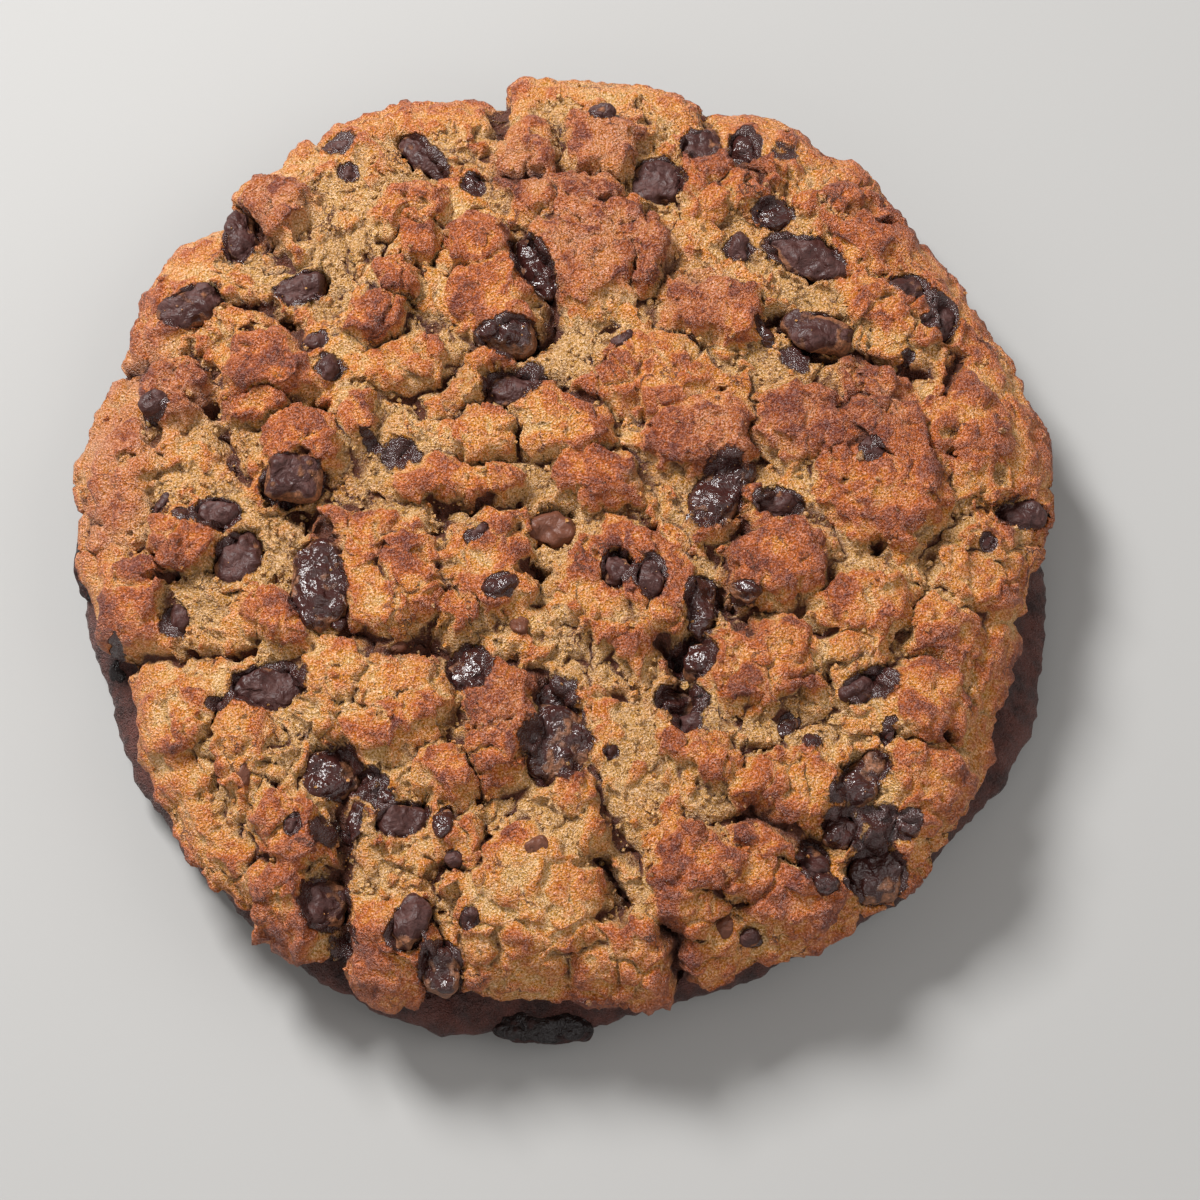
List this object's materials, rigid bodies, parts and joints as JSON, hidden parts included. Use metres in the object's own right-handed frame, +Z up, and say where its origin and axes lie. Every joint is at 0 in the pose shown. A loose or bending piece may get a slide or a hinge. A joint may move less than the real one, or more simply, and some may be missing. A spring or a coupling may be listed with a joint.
{
  "type": "chocolate chip cookie",
  "caption": "Large round chocolate chip cookie with a thick, craggy, golden-brown top, dark chocolate chunks set in it, a narrow waist and a dark flat base.",
  "frame": {"origin": "middle of the bounding box, on the flat base, with z = 0 where the cookie rests", "axes": "+Z up, out of the craggy top; +X to the right and +Y to the far side in the picture, which looks down from above and a little from the -Y side"},
  "size_m": [0.1991, 0.2046, 0.0372],
  "materials": {
    "dough": "rough baked crumb, golden to red-brown",
    "chocolate": "dark chocolate, glossy where it melted and dull where it bloomed",
    "milk_chocolate": "satin milk chocolate",
    "burnt_chocolate": "burnt, black and bubbly"
  },
  "bodies": {
    "root": {"cookie": "dough", "chunk_rim_left_tall": "chocolate", "chunk_rim_left_grey": "chocolate", "chunk_left_bent": "chocolate", "chunk_back_slant": "chocolate", "chunk_crack_glossy": "chocolate", "chunk_back_square": "chocolate", "chunk_deep_dark": "chocolate", "chunk_crumbly_middle": "chocolate", "chunk_left_dark": "chocolate", "chunk_left_small": "chocolate", "chunk_left_crumbly": "chocolate", "chunk_left_glossy": "chocolate", "chunk_middle_wet": "chocolate", "chunk_lobe_left": "chocolate", "chunk_lobe_right": "chocolate", "chunk_centre_glossy": "chocolate", "chunk_centre_crumbly": "chocolate", "chunk_centre_wet": "chocolate", "chunk_back_sparkle": "chocolate", "chunk_back_large": "chocolate", "chunk_back_upright": "chocolate", "chunk_back_black": "chocolate", "chunk_right_small": "chocolate", "chunk_right_tall": "chocolate", "chunk_right_pocket": "chocolate", "chunk_curved_glossy": "chocolate", "chunk_beside_curved": "chocolate", "chunk_rim_right": "chocolate", "chunk_front_right_long": "chocolate", "chunk_front_right_low": "chocolate", "chunk_front_right_rim": "chocolate", "chunk_front_right_black": "chocolate", "chunk_front_left_glossy": "chocolate", "chunk_front_left_dull": "chocolate", "chunk_front_ring": "chocolate", "chunk_front_crumbly": "chocolate", "chunk_front_middle": "chocolate", "chunk_front_arc": "chocolate", "chunk_left_broad": "chocolate", "chunk_milk_centre": "milk_chocolate", "chunk_burnt_left": "burnt_chocolate", "chunk_burnt_front": "burnt_chocolate"}
  },
  "joints": []
}
